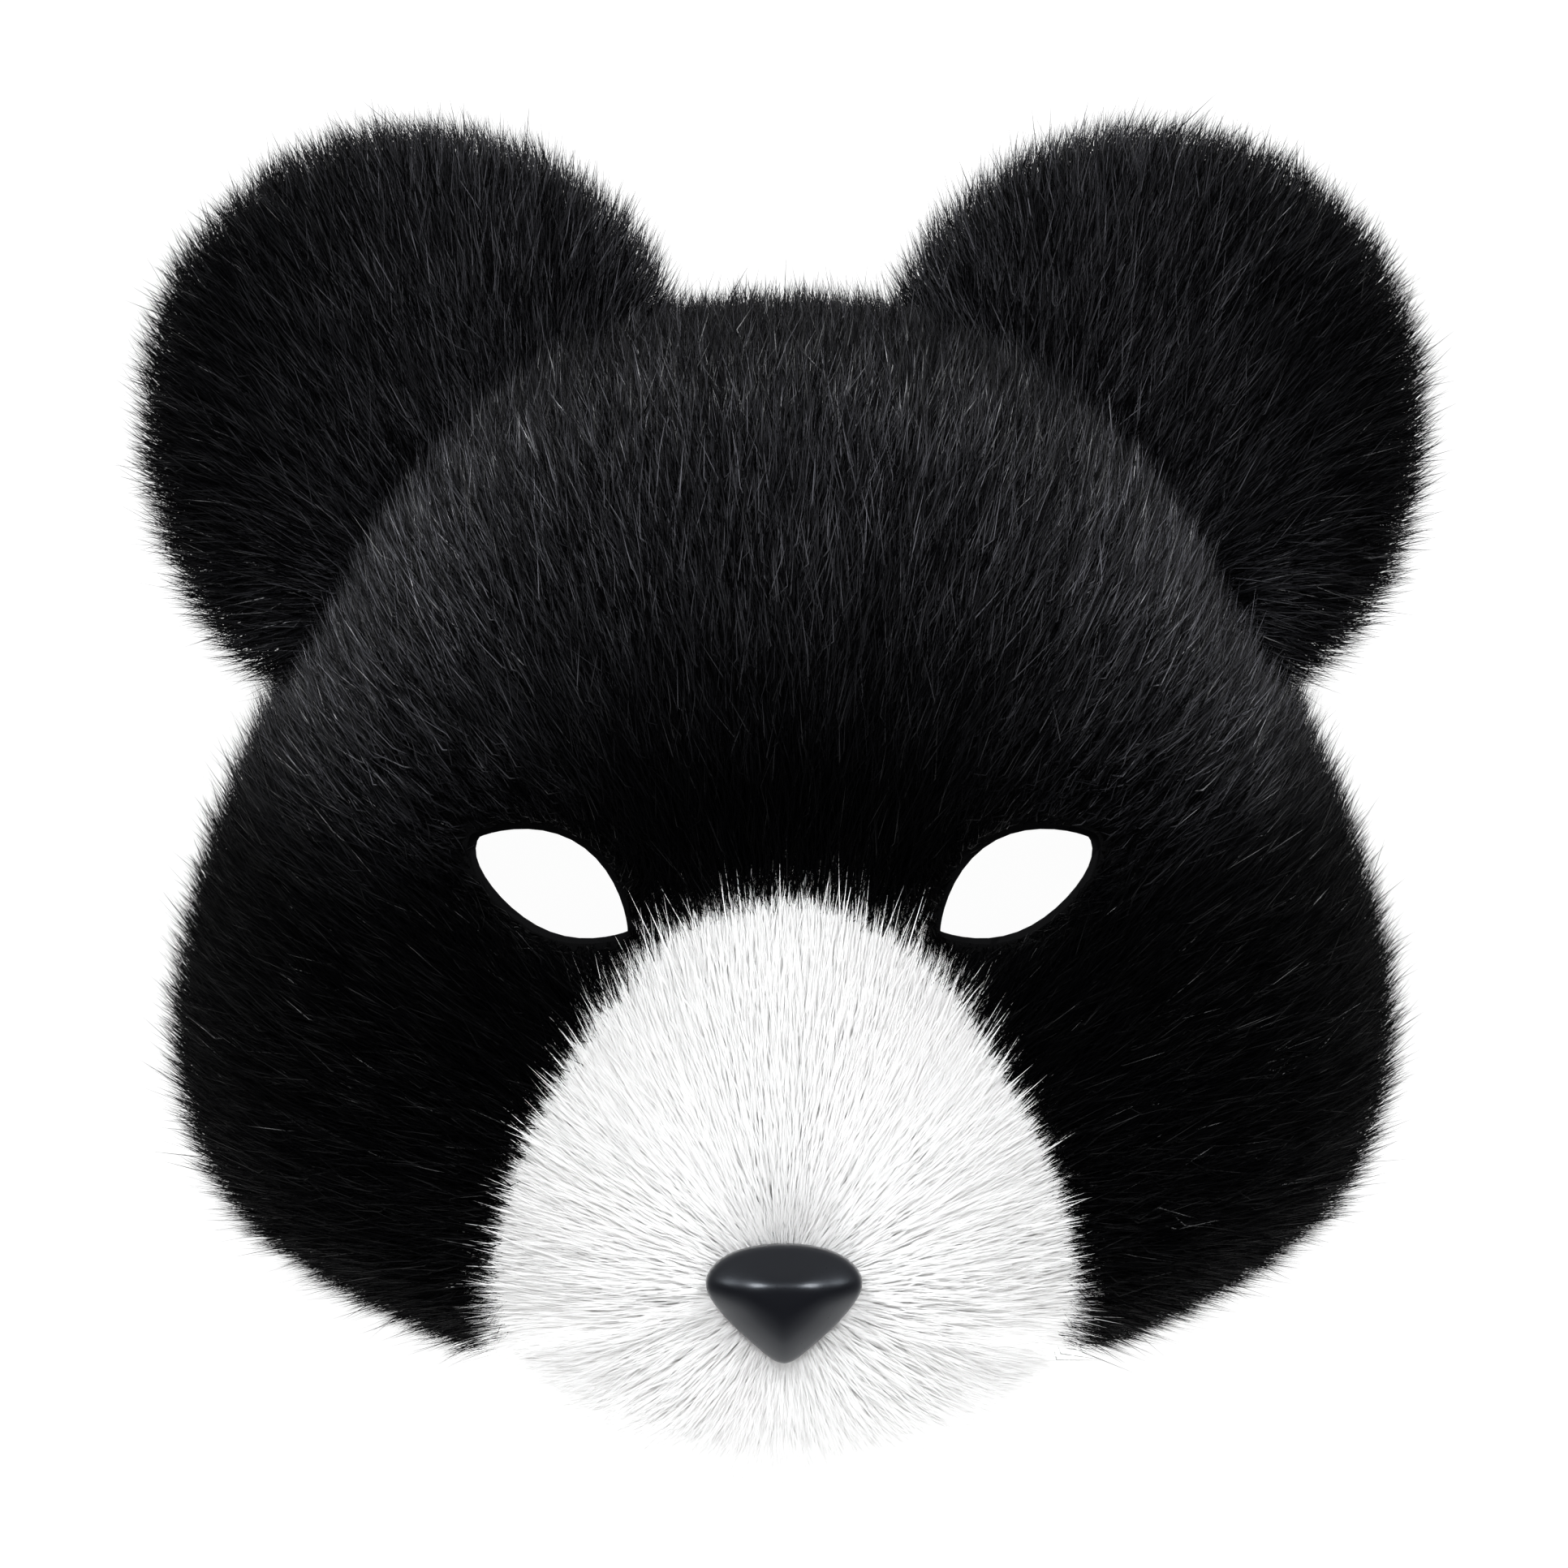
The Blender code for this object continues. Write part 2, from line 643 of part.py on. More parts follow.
def make_head_cutter(collection):
    # The head with its plush and a gap, solid down to below the floor
    bm, outward = sheet(ALL_COLUMNS, list(range(RIM_RING + 1)), GAP + BACKING + GAP)
    hole = [edge for edge in bm.edges if edge.is_boundary and edge.verts[0].co.z > 0.5 * SNOUT_HEIGHT]
    bmesh.ops.contextual_create(bm, geom=hole)
    rim = [edge for edge in bm.edges if edge.is_boundary]
    made = bmesh.ops.extrude_edge_only(bm, edges=rim)
    for vert in made["geom"]:
        if isinstance(vert, bmesh.types.BMVert):
            vert.co.z = -SKIRT
    floor = [edge for edge in made["geom"] if isinstance(edge, bmesh.types.BMEdge) and edge.is_boundary]
    bmesh.ops.contextual_create(bm, geom=floor)
    bmesh.ops.recalc_face_normals(bm, faces=bm.faces)
    return hide_cutter(new_object("head_room", bm, collection))


def shift_to_origin(objects):
    # The way that brings the middle of the whole mask over the origin, on the floor
    bpy.context.view_layer.update()
    graph = bpy.context.evaluated_depsgraph_get()
    corners = [obj.matrix_world @ Vector(corner)
               for obj in objects for corner in obj.evaluated_get(graph).bound_box]
    middle_x = 0.5 * (min(c.x for c in corners) + max(c.x for c in corners))
    middle_y = 0.5 * (min(c.y for c in corners) + max(c.y for c in corners))
    lowest = min(c.z for c in corners)
    return Vector((-middle_x, -middle_y, -lowest))


def main():
    clear_scene()
    parts = new_collection("bear_mask")
    cutters = new_collection("cutters")
    wall_cutters = []
    plush_cutters = []
    for side, name in ((-1.0, "left"), (1.0, "right")):
        wall_cutters.append(make_eye_cutter(side, "eye_hole_" + name, 0.0, cutters))
        plush_cutters.append(make_eye_cutter(side, "eye_room_" + name, EYE_MARGIN, cutters))
    head = make_head_cutter(cutters)
    ear_pile = new_material("ear_pile", (0.008, 0.008, 0.01), 0.55)
    pieces = [
        make_wall(parts, wall_cutters),
        make_face_plush(parts, plush_cutters),
        make_snout_plush(parts),
        make_ear(-1.0, "ear_left", parts, head, ear_pile),
        make_ear(1.0, "ear_right", parts, head, ear_pile),
        make_nose(parts),
    ]
    shift = shift_to_origin(pieces)
    for obj in list(parts.objects) + list(cutters.objects):
        obj.location += shift


main()
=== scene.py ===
import json
from math import atan2, cos, pi, radians, sin

import bmesh
import bpy
import numpy as np
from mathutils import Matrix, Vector
from mathutils.bvhtree import BVHTree
from mathutils.kdtree import KDTree


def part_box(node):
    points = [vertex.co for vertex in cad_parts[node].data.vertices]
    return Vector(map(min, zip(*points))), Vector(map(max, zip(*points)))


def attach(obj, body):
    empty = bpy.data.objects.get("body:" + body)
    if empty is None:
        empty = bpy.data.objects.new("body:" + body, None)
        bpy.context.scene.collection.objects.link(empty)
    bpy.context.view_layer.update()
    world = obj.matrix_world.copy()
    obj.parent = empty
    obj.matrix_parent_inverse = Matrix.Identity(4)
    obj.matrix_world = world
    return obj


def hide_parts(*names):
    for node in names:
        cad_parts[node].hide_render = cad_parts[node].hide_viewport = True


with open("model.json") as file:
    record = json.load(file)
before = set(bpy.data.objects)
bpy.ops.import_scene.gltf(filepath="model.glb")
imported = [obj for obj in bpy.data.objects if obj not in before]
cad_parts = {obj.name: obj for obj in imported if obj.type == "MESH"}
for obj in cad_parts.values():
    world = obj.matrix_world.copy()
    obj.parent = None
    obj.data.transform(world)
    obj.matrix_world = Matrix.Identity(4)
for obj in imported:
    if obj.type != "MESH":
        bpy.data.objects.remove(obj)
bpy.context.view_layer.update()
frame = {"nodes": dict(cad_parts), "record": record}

mm = 0.001
scene = bpy.context.scene
record = frame["record"]

# Camera, straight above the mask that lies face up
cameraPlan = {
    "lens": 200.0,
    "distance": 1395.5 * mm,      # to the plane where sizes are true
    "planeHeight": 30.0 * mm,
    "middleY": 0.6 * mm,
}


def addCamera(plan):
    data = bpy.data.cameras.new("camera")
    data.lens = plan["lens"]
    data.sensor_width = 36.0
    data.clip_end = 20.0
    camera = bpy.data.objects.new("camera", data)
    scene.collection.objects.link(camera)
    camera.location = (0.0, plan["middleY"], plan["distance"] + plan["planeHeight"])
    scene.camera = camera


addCamera(cameraPlan)
print("camera set")

# What the frame says
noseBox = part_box("nose")
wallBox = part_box("mask_shell")
noseMiddle = (noseBox[0] + noseBox[1]) / 2.0
snoutTip = Vector((0.0, noseMiddle.y + 1.2 * mm, wallBox[1].z))
eyeMiddles = [Vector([(low + high) / 2.0 for low, high in zip(*opening["box_m"])])
              for opening in record["physics"]["openings"] if "eye_hole" in opening["name"]]

eyePlan = {
    "halfLength": 13.9 * mm,
    "halfWidth": 7.4 * mm,
    "tilt": radians(32.0),
    "keepClear": 1.07,            # pile stops this far out, as a share of the hole
    "pushReach": 1.9,             # pile bends away from the hole up to here
}


# Materials

def newMaterial(name):
    material = bpy.data.materials.new(name)
    material.use_nodes = True
    nodes = material.node_tree.nodes
    links = material.node_tree.links
    return material, nodes, links, nodes["Principled BSDF"]


def makeFibreGroup():
    # Colour and gloss that change from hair to hair and from root to tip; the change from hair to hair carries the
    # painted sheen too
    group = bpy.data.node_groups.new("fibreVariation", "ShaderNodeTree")
    face = group.interface
    for name, kind in (("Dark", "NodeSocketColor"), ("Light", "NodeSocketColor"), ("Root", "NodeSocketColor"),
                       ("Low Roughness", "NodeSocketFloat"), ("High Roughness", "NodeSocketFloat")):
        face.new_socket(name=name, in_out="INPUT", socket_type=kind)
    face.new_socket(name="Color", in_out="OUTPUT", socket_type="NodeSocketColor")
    face.new_socket(name="Roughness", in_out="OUTPUT", socket_type="NodeSocketFloat")
    nodes = group.nodes
    links = group.links
    entry = nodes.new("NodeGroupInput")
    out = nodes.new("NodeGroupOutput")
    shade = nodes.new("ShaderNodeAttribute")
    shade.attribute_name = "shade"
    along = nodes.new("ShaderNodeAttribute")
    along.attribute_name = "along"
    mix = nodes.new("ShaderNodeMix")
    mix.data_type = "RGBA"
    links.new(shade.outputs["Fac"], mix.inputs["Factor"])
    links.new(entry.outputs["Dark"], mix.inputs["A"])
    links.new(entry.outputs["Light"], mix.inputs["B"])
    rootMix = nodes.new("ShaderNodeMix")
    rootMix.data_type = "RGBA"
    links.new(along.outputs["Fac"], rootMix.inputs["Factor"])
    links.new(entry.outputs["Root"], rootMix.inputs["A"])
    links.new(mix.outputs["Result"], rootMix.inputs["B"])
    links.new(rootMix.outputs["Result"], out.inputs["Color"])
    rough = nodes.new("ShaderNodeMix")
    links.new(shade.outputs["Fac"], rough.inputs["Factor"])
    links.new(entry.outputs["High Roughness"], rough.inputs["A"])
    links.new(entry.outputs["Low Roughness"], rough.inputs["B"])
    links.new(rough.outputs["Result"], out.inputs["Roughness"])
    return group


fibreGroup = makeFibreGroup()


def fibreMaterial(name, plan):
    material, nodes, links, shader = newMaterial(name)
    group = nodes.new("ShaderNodeGroup")
    group.node_tree = fibreGroup
    for socket in ("Dark", "Light", "Root"):
        group.inputs[socket].default_value = (*plan[socket], 1.0)
    group.inputs["Low Roughness"].default_value = plan["roughness"][0]
    group.inputs["High Roughness"].default_value = plan["roughness"][1]
    links.new(group.outputs["Color"], shader.inputs["Base Color"])
    links.new(group.outputs["Roughness"], shader.inputs["Roughness"])
    shader.inputs["Specular IOR Level"].default_value = plan["specular"]
    return material


def backingMaterial(name, colour, roughness, scale, depth, specular):
    # Felted backing under the pile
    material, nodes, links, shader = newMaterial(name)
    coords = nodes.new("ShaderNodeTexCoord")
    noise = nodes.new("ShaderNodeTexNoise")
    noise.inputs["Scale"].default_value = scale
    noise.inputs["Detail"].default_value = 6.0
    bump = nodes.new("ShaderNodeBump")
    bump.inputs["Strength"].default_value = 0.6
    bump.inputs["Distance"].default_value = depth
    tone = nodes.new("ShaderNodeMix")
    tone.data_type = "RGBA"
    tone.inputs["A"].default_value = (*[c * 0.8 for c in colour], 1.0)
    tone.inputs["B"].default_value = (*colour, 1.0)
    links.new(coords.outputs["Object"], noise.inputs["Vector"])
    links.new(noise.outputs["Fac"], bump.inputs["Height"])
    links.new(noise.outputs["Fac"], tone.inputs["Factor"])
    links.new(tone.outputs["Result"], shader.inputs["Base Color"])
    links.new(bump.outputs["Normal"], shader.inputs["Normal"])
    shader.inputs["Roughness"].default_value = roughness
    shader.inputs["Specular IOR Level"].default_value = specular
    return material


# Black pile: Light is reached only where the shade attribute is high, so it carries the painted sheen as well as
# lighter hairs at random
blackPile = fibreMaterial("blackPile", {
    "Dark": (0.0005, 0.0005, 0.0008), "Light": (0.078, 0.078, 0.088), "Root": (0.0003, 0.0003, 0.0004),
    "roughness": (0.3, 0.42), "specular": 0.05})
# Glint hairs: glossier than the rest, and lighter in colour as a painted glint
blackGlint = fibreMaterial("blackGlint", {
    "Dark": (0.0015, 0.0015, 0.0022), "Light": (0.21, 0.21, 0.235), "Root": (0.0005, 0.0005, 0.0006),
    "roughness": (0.22, 0.32), "specular": 0.35})
whitePile = fibreMaterial("whitePile", {
    "Dark": (0.955, 0.949, 0.942), "Light": (0.98, 0.975, 0.969), "Root": (0.975, 0.97, 0.964),
    "roughness": (0.5, 0.7), "specular": 0.2})
blackBacking = backingMaterial("blackBacking", (0.001, 0.001, 0.0012), 0.9, 1800.0, 0.4 * mm, 0.1)
whiteBacking = backingMaterial("whiteBacking", (0.96, 0.96, 0.955), 0.9, 1800.0, 0.4 * mm, 0.1)
mouldedWall = backingMaterial("mouldedWall", (0.0018, 0.0018, 0.0022), 0.72, 2600.0, 0.08 * mm, 0.08)
print("materials made")


# Skins: the smooth backings that the pile grows from

def nodeMesh(name):
    # A merged copy of a CAD node's mesh, in the frame
    node = frame["nodes"][name]
    bm = bmesh.new()
    bm.from_mesh(node.data)
    bm.transform(node.matrix_world)
    bmesh.ops.remove_doubles(bm, verts=bm.verts, dist=0.005 * mm)
    return bm


wallCopy = nodeMesh("mask_shell")
wallTree = BVHTree.FromBMesh(wallCopy)

skinPlan = {
    "innerReach": 0.6 * mm,       # the CAD backing's inner side lies this near the wall
    "lift": 0.9 * mm,
    "levels": 2,
}


def liveMesh(obj):
    # The mesh with its modifiers applied, kept on the object
    graph = bpy.context.evaluated_depsgraph_get()
    mesh = bpy.data.meshes.new_from_object(obj.evaluated_get(graph))
    obj.modifiers.clear()
    obj.data = mesh
    return mesh


def steadyOrder(mesh):
    # Spins and cuts leave points and faces in an order that changes from run to run
    bm = bmesh.new()
    bm.from_mesh(mesh)
    ranked = sorted(bm.verts, key=lambda vert: tuple(round(value, 6) for value in vert.co))
    rank = {vert: index for index, vert in enumerate(ranked)}
    rings = []
    for face in bm.faces:
        ring = [rank[vert] for vert in face.verts]
        first = ring.index(min(ring))
        rings.append(ring[first:] + ring[:first])
    steady = bmesh.new()
    verts = [steady.verts.new(vert.co) for vert in ranked]
    for ring in sorted(rings):
        steady.faces.new([verts[index] for index in ring])
    steady.to_mesh(mesh)
    steady.free()
    bm.free()


def makePiece(name, bm, material):
    mesh = bpy.data.meshes.new(name)
    bm.to_mesh(mesh)
    bm.free()
    obj = bpy.data.objects.new(name, mesh)
    scene.collection.objects.link(obj)
    mesh.materials.append(material)
    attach(obj, "root")
    return obj


def makeSkin(name, node, plan, material):
    bm = nodeMesh(node)
    near = {vert: wallTree.find_nearest(vert.co)[3] < plan["innerReach"] for vert in bm.verts}
    outer = [face for face in bm.faces if not all(near[vert] for vert in face.verts)]
    bmesh.ops.delete(bm, geom=outer, context="FACES")
    bmesh.ops.reverse_faces(bm, faces=bm.faces)
    bmesh.ops.join_triangles(bm, faces=bm.faces, angle_face_threshold=0.7, angle_shape_threshold=0.9)
    skin = makePiece(name, bm, material)
    smooth = skin.modifiers.new("smooth", "SUBSURF")
    smooth.levels = plan["levels"]
    smooth.render_levels = plan["levels"]
    smooth.boundary_smooth = "PRESERVE_CORNERS"
    liveMesh(skin)
    bm = bmesh.new()
    bm.from_mesh(skin.data)
    bm.normal_update()
    for vert in bm.verts:
        vert.co += vert.normal * plan["lift"]
    bm.to_mesh(skin.data)
    bm.free()
    skin.data.shade_smooth()
    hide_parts(node)
    return skin


faceSkin = makeSkin("faceBacking", "face_fur", skinPlan, blackBacking)
muzzleSkin = makeSkin("muzzleBacking", "muzzle_fur", skinPlan, whiteBacking)
for materialSlot in frame["nodes"]["mask_shell"].material_slots:
    materialSlot.link = "OBJECT"
    materialSlot.material = mouldedWall
print("skins made", len(faceSkin.data.polygons), len(muzzleSkin.data.polygons))

earPlan = {
    "middle": (58.7 * mm, 61.9 * mm, 18.5 * mm),
    "radius": 38.2 * mm,
    "hang": 7.5 * mm,             # the lower outer side goes this far past the round
    "hangAngle": radians(-70.0),
    "hangPower": 4,
    "thickness": 13.0 * mm,
    "section": ((0.0, 1.0), (0.45, 1.0), (0.78, 0.88), (0.94, 0.55), (1.0, 0.0),
                (0.94, -0.55), (0.78, -0.88), (0.45, -1.0), (0.0, -1.0)),
    "steps": 40,
    "levels": 1,
}


def rimOutline():
    # The wall's outer rim as an outline, for the room that the head takes from an ear
    rim = [vert.co.copy() for vert in wallCopy.verts if vert.co.z < 14.5 * mm]
    middle = Vector((0.0, sum(co.y for co in rim) / len(rim), 0.0))
    best = {}
    for co in rim:
        turn = round(atan2(co.y - middle.y, co.x - middle.x) / (2.0 * pi) * 64)
        reach = (Vector((co.x, co.y, 0.0)) - middle).length
        if turn not in best or reach > best[turn][0]:
            best[turn] = (reach, co)
    return [best[turn][1] for turn in sorted(best)]


def earReach(across, rise, plan):
    # From an ear's middle to its edge
    away = max((across ** 2 + rise ** 2) ** 0.5, 0.01 * mm)
    share = (across * cos(plan["hangAngle"]) + rise * sin(plan["hangAngle"])) / away
    return plan["radius"] + plan["hang"] * max(share, 0.0) ** plan["hangPower"]


def makeEar(side, plan):
    sign = -1.0 if side == "left" else 1.0
    radius = plan["radius"]
    middle = Vector((sign * plan["middle"][0], plan["middle"][1], plan["middle"][2]))
    bm = bmesh.new()
    half = plan["thickness"] / 2.0
    verts = [bm.verts.new((reach * radius, 0.0, up * half)) for reach, up in plan["section"]]
    edges = [bm.edges.new(pair) for pair in zip(verts, verts[1:])]
    bmesh.ops.spin(bm, geom=verts + edges, cent=(0.0, 0.0, 0.0), axis=(0.0, 0.0, 1.0),
                   angle=2.0 * pi, steps=plan["steps"], use_merge=True)
    bmesh.ops.remove_doubles(bm, verts=bm.verts, dist=0.01 * mm)
    bmesh.ops.recalc_face_normals(bm, faces=bm.faces)
    for vert in bm.verts:
        stretch = earReach(sign * vert.co.x, vert.co.y, plan) / radius
        vert.co.x *= stretch
        vert.co.y *= stretch
    bmesh.ops.translate(bm, vec=middle, verts=bm.verts)
    ear = makePiece("earBacking" + side.capitalize(), bm, blackBacking)
    steadyOrder(ear.data)
    smooth = ear.modifiers.new("smooth", "SUBSURF")
    smooth.levels = plan["levels"]
    smooth.render_levels = plan["levels"]
    room = makeHeadRoom()
    cut = ear.modifiers.new("head", "BOOLEAN")
    cut.operation = "DIFFERENCE"
    cut.solver = "EXACT"
    cut.object = room
    steadyOrder(liveMesh(ear))
    bpy.data.objects.remove(room, do_unlink=True)
    ear.data.shade_smooth()
    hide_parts("ear_" + side)
    return ear, middle


def makeHeadRoom():
    bm = bmesh.new()
    outline = rimOutline()
    face = bm.faces.new([bm.verts.new((co.x * 1.012, co.y * 1.012, -0.01)) for co in outline])
    made = bmesh.ops.extrude_face_region(bm, geom=[face])
    top = [item for item in made["geom"] if isinstance(item, bmesh.types.BMVert)]
    bmesh.ops.translate(bm, vec=(0.0, 0.0, 0.06), verts=top)
    bmesh.ops.recalc_face_normals(bm, faces=bm.faces)
    mesh = bpy.data.meshes.new("headRoom")
    bm.to_mesh(mesh)
    bm.free()
    steadyOrder(mesh)
    room = bpy.data.objects.new("headRoom", mesh)
    scene.collection.objects.link(room)
    return room


ears = {side: makeEar(side, earPlan) for side in ("left", "right")}
print("ears made", [len(ear[0].data.polygons) for ear in ears.values()])


# Nose: a glossy button with a facet above its ridge, on a post through the wall
nosePlan = {
    "halfWidth": 12.1 * mm,
    "halfHeight": 9.25 * mm,
    "depth": 10.4 * mm,
    "ridge": 0.34,                # height of the ridge, as a share of the half height
    "ridgeSoft": (0.05, 0.28),    # how softly the ridge turns in its middle and at the wings
    "topFall": 0.46,              # depth lost from the ridge to the top, the tip and the sides
    "tipFall": 0.22,
    "sideFall": 0.20,
    "roundFall": 0.52,            # and to the edge under the ridge
    "roundPower": 2.4,
    "outline": ((0.0, 1.0), (0.21, 0.99), (0.42, 0.95), (0.62, 0.88), (0.81, 0.75), (0.95, 0.57), (1.0, 0.38),
                (0.98, 0.21), (0.90, 0.02), (0.78, -0.18), (0.64, -0.38), (0.48, -0.57), (0.31, -0.76),
                (0.17, -0.92), (0.07, -0.985), (0.0, -1.0)),
    "loops": ((0.97, 0.12), (1.0, 0.34), (1.0, 0.74), (0.992, 0.92), (0.97, 0.985), (0.93, 1.0),
              (0.85, 1.0), (0.76, 1.0), (0.66, 1.0), (0.56, 1.0), (0.46, 1.0), (0.36, 1.0), (0.26, 1.0),
              (0.16, 1.0), (0.07, 1.0)),
    "drop": 0.4 * mm,             # the button hangs this much below its seat's middle
    "levels": 1,
    "post": ((0.0, -5.6), (2.6, -5.6), (3.2, -5.0), (3.2, -4.4), (2.2, -4.2), (2.2, 0.6)),
}


def ease(value):
    value = np.clip(value, 0.0, 1.0)
    return value * value * (3.0 - 2.0 * value)


def noseFront(x, y, share, plan):
    # Height of the nose's front over its seat
    up = y / plan["halfHeight"] - plan["ridge"]
    side = abs(x) / plan["halfWidth"]
    middleSoft, wingSoft = plan["ridgeSoft"]
    soft = middleSoft + (wingSoft - middleSoft) * min(side / 0.6, 1.0) ** 2
    above = ((up ** 2 + soft ** 2) ** 0.5 + up) / 2.0 / (1.0 - plan["ridge"])
    below = max(0.0, -up / (1.0 + plan["ridge"]))
    fall = plan["topFall"] * above + plan["tipFall"] * below ** 2 + plan["sideFall"] * side ** 3
    fall += plan["roundFall"] * share ** plan["roundPower"] * ease(below / 0.42)
    return plan["depth"] * (1.0 - fall)


def makeNose(plan):
    seat = noseBox[1].z - plan["depth"] - 0.2 * mm
    half = [(x * plan["halfWidth"], y * plan["halfHeight"]) for x, y in plan["outline"]]
    outline = half + [(-x, y) for x, y in reversed(half[1:-1])]
    bm = bmesh.new()
    face = bm.faces.new([bm.verts.new((x * 0.86, y * 0.86, 0.0)) for x, y in outline])
    ring = [face]
    for share, rise in plan["loops"]:
        face = bmesh.ops.extrude_discrete_faces(bm, faces=ring)["faces"][0]
        for vert, (x, y) in zip(face.verts, outline):
            vert.co = (x * share, y * share, rise * noseFront(x * share, y * share, share, plan))
        ring = [face]
    bmesh.ops.poke(bm, faces=ring)
    bmesh.ops.holes_fill(bm, edges=bm.edges, sides=0)
    bmesh.ops.recalc_face_normals(bm, faces=bm.faces)
    bmesh.ops.translate(bm, vec=(0.0, noseMiddle.y - plan["drop"], seat), verts=bm.verts)
    nose = makePiece("noseButton", bm, noseGloss)
    smooth = nose.modifiers.new("smooth", "SUBSURF")
    smooth.levels = plan["levels"]
    smooth.render_levels = plan["levels"]
    nose.data.shade_smooth()
    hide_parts("nose")

    bm = bmesh.new()
    verts = [bm.verts.new((reach * mm, 0.0, rise * mm)) for reach, rise in plan["post"]]
    edges = [bm.edges.new(pair) for pair in zip(verts, verts[1:])]
    bmesh.ops.spin(bm, geom=verts + edges, cent=(0.0, 0.0, 0.0), axis=(0.0, 0.0, 1.0),
                   angle=2.0 * pi, steps=32, use_merge=True)
    bmesh.ops.remove_doubles(bm, verts=bm.verts, dist=0.01 * mm)
    bmesh.ops.holes_fill(bm, edges=bm.edges, sides=0)
    bmesh.ops.recalc_face_normals(bm, faces=bm.faces)
    bmesh.ops.translate(bm, vec=(0.0, snoutTip.y, seat), verts=bm.verts)
    post = makePiece("nosePost", bm, noseGloss)
    steadyOrder(post.data)
    post.data.shade_smooth()
    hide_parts("nose")


noseGloss, nodes, links, shader = newMaterial("noseGloss")
coords = nodes.new("ShaderNodeTexCoord")
speckle = nodes.new("ShaderNodeTexNoise")
speckle.inputs["Scale"].default_value = 2400.0
speckle.inputs["Detail"].default_value = 4.0
wear = nodes.new("ShaderNodeMapRange")
wear.inputs["To Min"].default_value = 0.24
wear.inputs["To Max"].default_value = 0.36
bump = nodes.new("ShaderNodeBump")
bump.inputs["Strength"].default_value = 0.12
bump.inputs["Distance"].default_value = 0.05 * mm
links.new(coords.outputs["Object"], speckle.inputs["Vector"])
links.new(speckle.outputs["Fac"], wear.inputs["Value"])
links.new(wear.outputs["Result"], shader.inputs["Roughness"])
links.new(speckle.outputs["Fac"], bump.inputs["Height"])
links.new(bump.outputs["Normal"], shader.inputs["Normal"])
shader.inputs["Base Color"].default_value = (0.004, 0.0042, 0.006, 1.0)
shader.inputs["Coat Weight"].default_value = 0.12
shader.inputs["Specular IOR Level"].default_value = 0.36
shader.inputs["Specular Tint"].default_value = (0.84, 0.91, 1.0, 1.0)
shader.inputs["Coat Roughness"].default_value = 0.12
makeNose(nosePlan)
print("nose made")


# Pile: each hair is a bent, tapered, twisted blade of three triangles

def skinTriangles(skin):
    # Corner places and corner normals of a skin's triangles
    mesh = skin.data
    mesh.calc_loop_triangles()
    corners = np.empty(len(mesh.loop_triangles) * 3, dtype=np.int32)
    mesh.loop_triangles.foreach_get("vertices", corners)
    corners = corners.reshape(-1, 3)
    places = np.empty(len(mesh.vertices) * 3, dtype=np.float64)
    mesh.vertices.foreach_get("co", places)
    places = places.reshape(-1, 3)
    normals = np.empty(len(mesh.vertices) * 3, dtype=np.float32)
    mesh.vertex_normals.foreach_get("vector", normals)
    normals = normals.reshape(-1, 3).astype(float)
    return places[corners], normals[corners]


def unit(vectors):
    return vectors / np.maximum(np.linalg.norm(vectors, axis=-1, keepdims=True), 1e-12)


def scatter(skin, count, density, chance):
    # Roots spread over a skin by area and by a density that the place gives
    places, normals = skinTriangles(skin)
    cross = np.cross(places[:, 1] - places[:, 0], places[:, 2] - places[:, 0])
    area = np.linalg.norm(cross, axis=1) / 2.0
    middles = places.mean(axis=1)
    weight = area * density(middles, unit(cross))
    pick = chance.choice(len(weight), size=count, p=weight / weight.sum())
    share = np.sqrt(chance.random(count))
    turn = chance.random(count)
    mix = np.column_stack([1.0 - share, share * (1.0 - turn), share * turn])
    roots = np.einsum("ij,ijk->ik", mix, places[pick])
    outward = unit(np.einsum("ij,ijk->ik", mix, normals[pick]))
    return roots, outward


def eyeAxes(points):
    # Places in the nearer eye hole's axes, as shares of its half length and half width
    middle = eyeMiddles[1] if eyeMiddles[1].x > 0.0 else eyeMiddles[0]
    dx = middle.x - np.abs(points[:, 0])
    dy = points[:, 1] - middle.y
    along = (dx * cos(eyePlan["tilt"]) - dy * sin(eyePlan["tilt"])) / eyePlan["halfLength"]
    up = (dx * sin(eyePlan["tilt"]) + dy * cos(eyePlan["tilt"])) / eyePlan["halfWidth"]
    return along, up


def eyeSpread(points):
    along, up = eyeAxes(points)
    return np.hypot(along, up)


def combField(roots, outward, plan):
    # The pile runs away from the nose over the surface, hangs a little, and parts round the eyes
    away = roots - np.array([snoutTip.x, snoutTip.y, 0.0])
    away[:, 2] = 0.0
    away = unit(away)
    if "fanFrom" in plan:
        fan = roots - np.array(plan["fanFrom"])
        fan[:, 2] = 0.0
        reach = np.linalg.norm(fan, axis=1, keepdims=True)
        away = unit(away + unit(fan) * plan["fan"] * np.clip(reach / plan["fanReach"], 0.0, 1.0) ** 3)
    away[:, 2] = -plan["hang"]
    along, up = eyeAxes(roots)
    spread = np.hypot(along, up)
    push = np.clip((eyePlan["pushReach"] - spread) / (eyePlan["pushReach"] - 1.0), 0.0, 1.0) ** 1.5
    middle = np.array(eyeMiddles[1] if eyeMiddles[1].x > 0.0 else eyeMiddles[0])
    side = np.where(roots[:, :1] > 0.0, 1.0, -1.0)
    fromEye = roots - np.column_stack([side[:, 0] * middle[0], np.full(len(roots), middle[1]),
                                       roots[:, 2]])
    away += unit(fromEye) * push[:, None] * 1.6
    away -= outward * np.sum(away * outward, axis=1, keepdims=True)
    return unit(away)


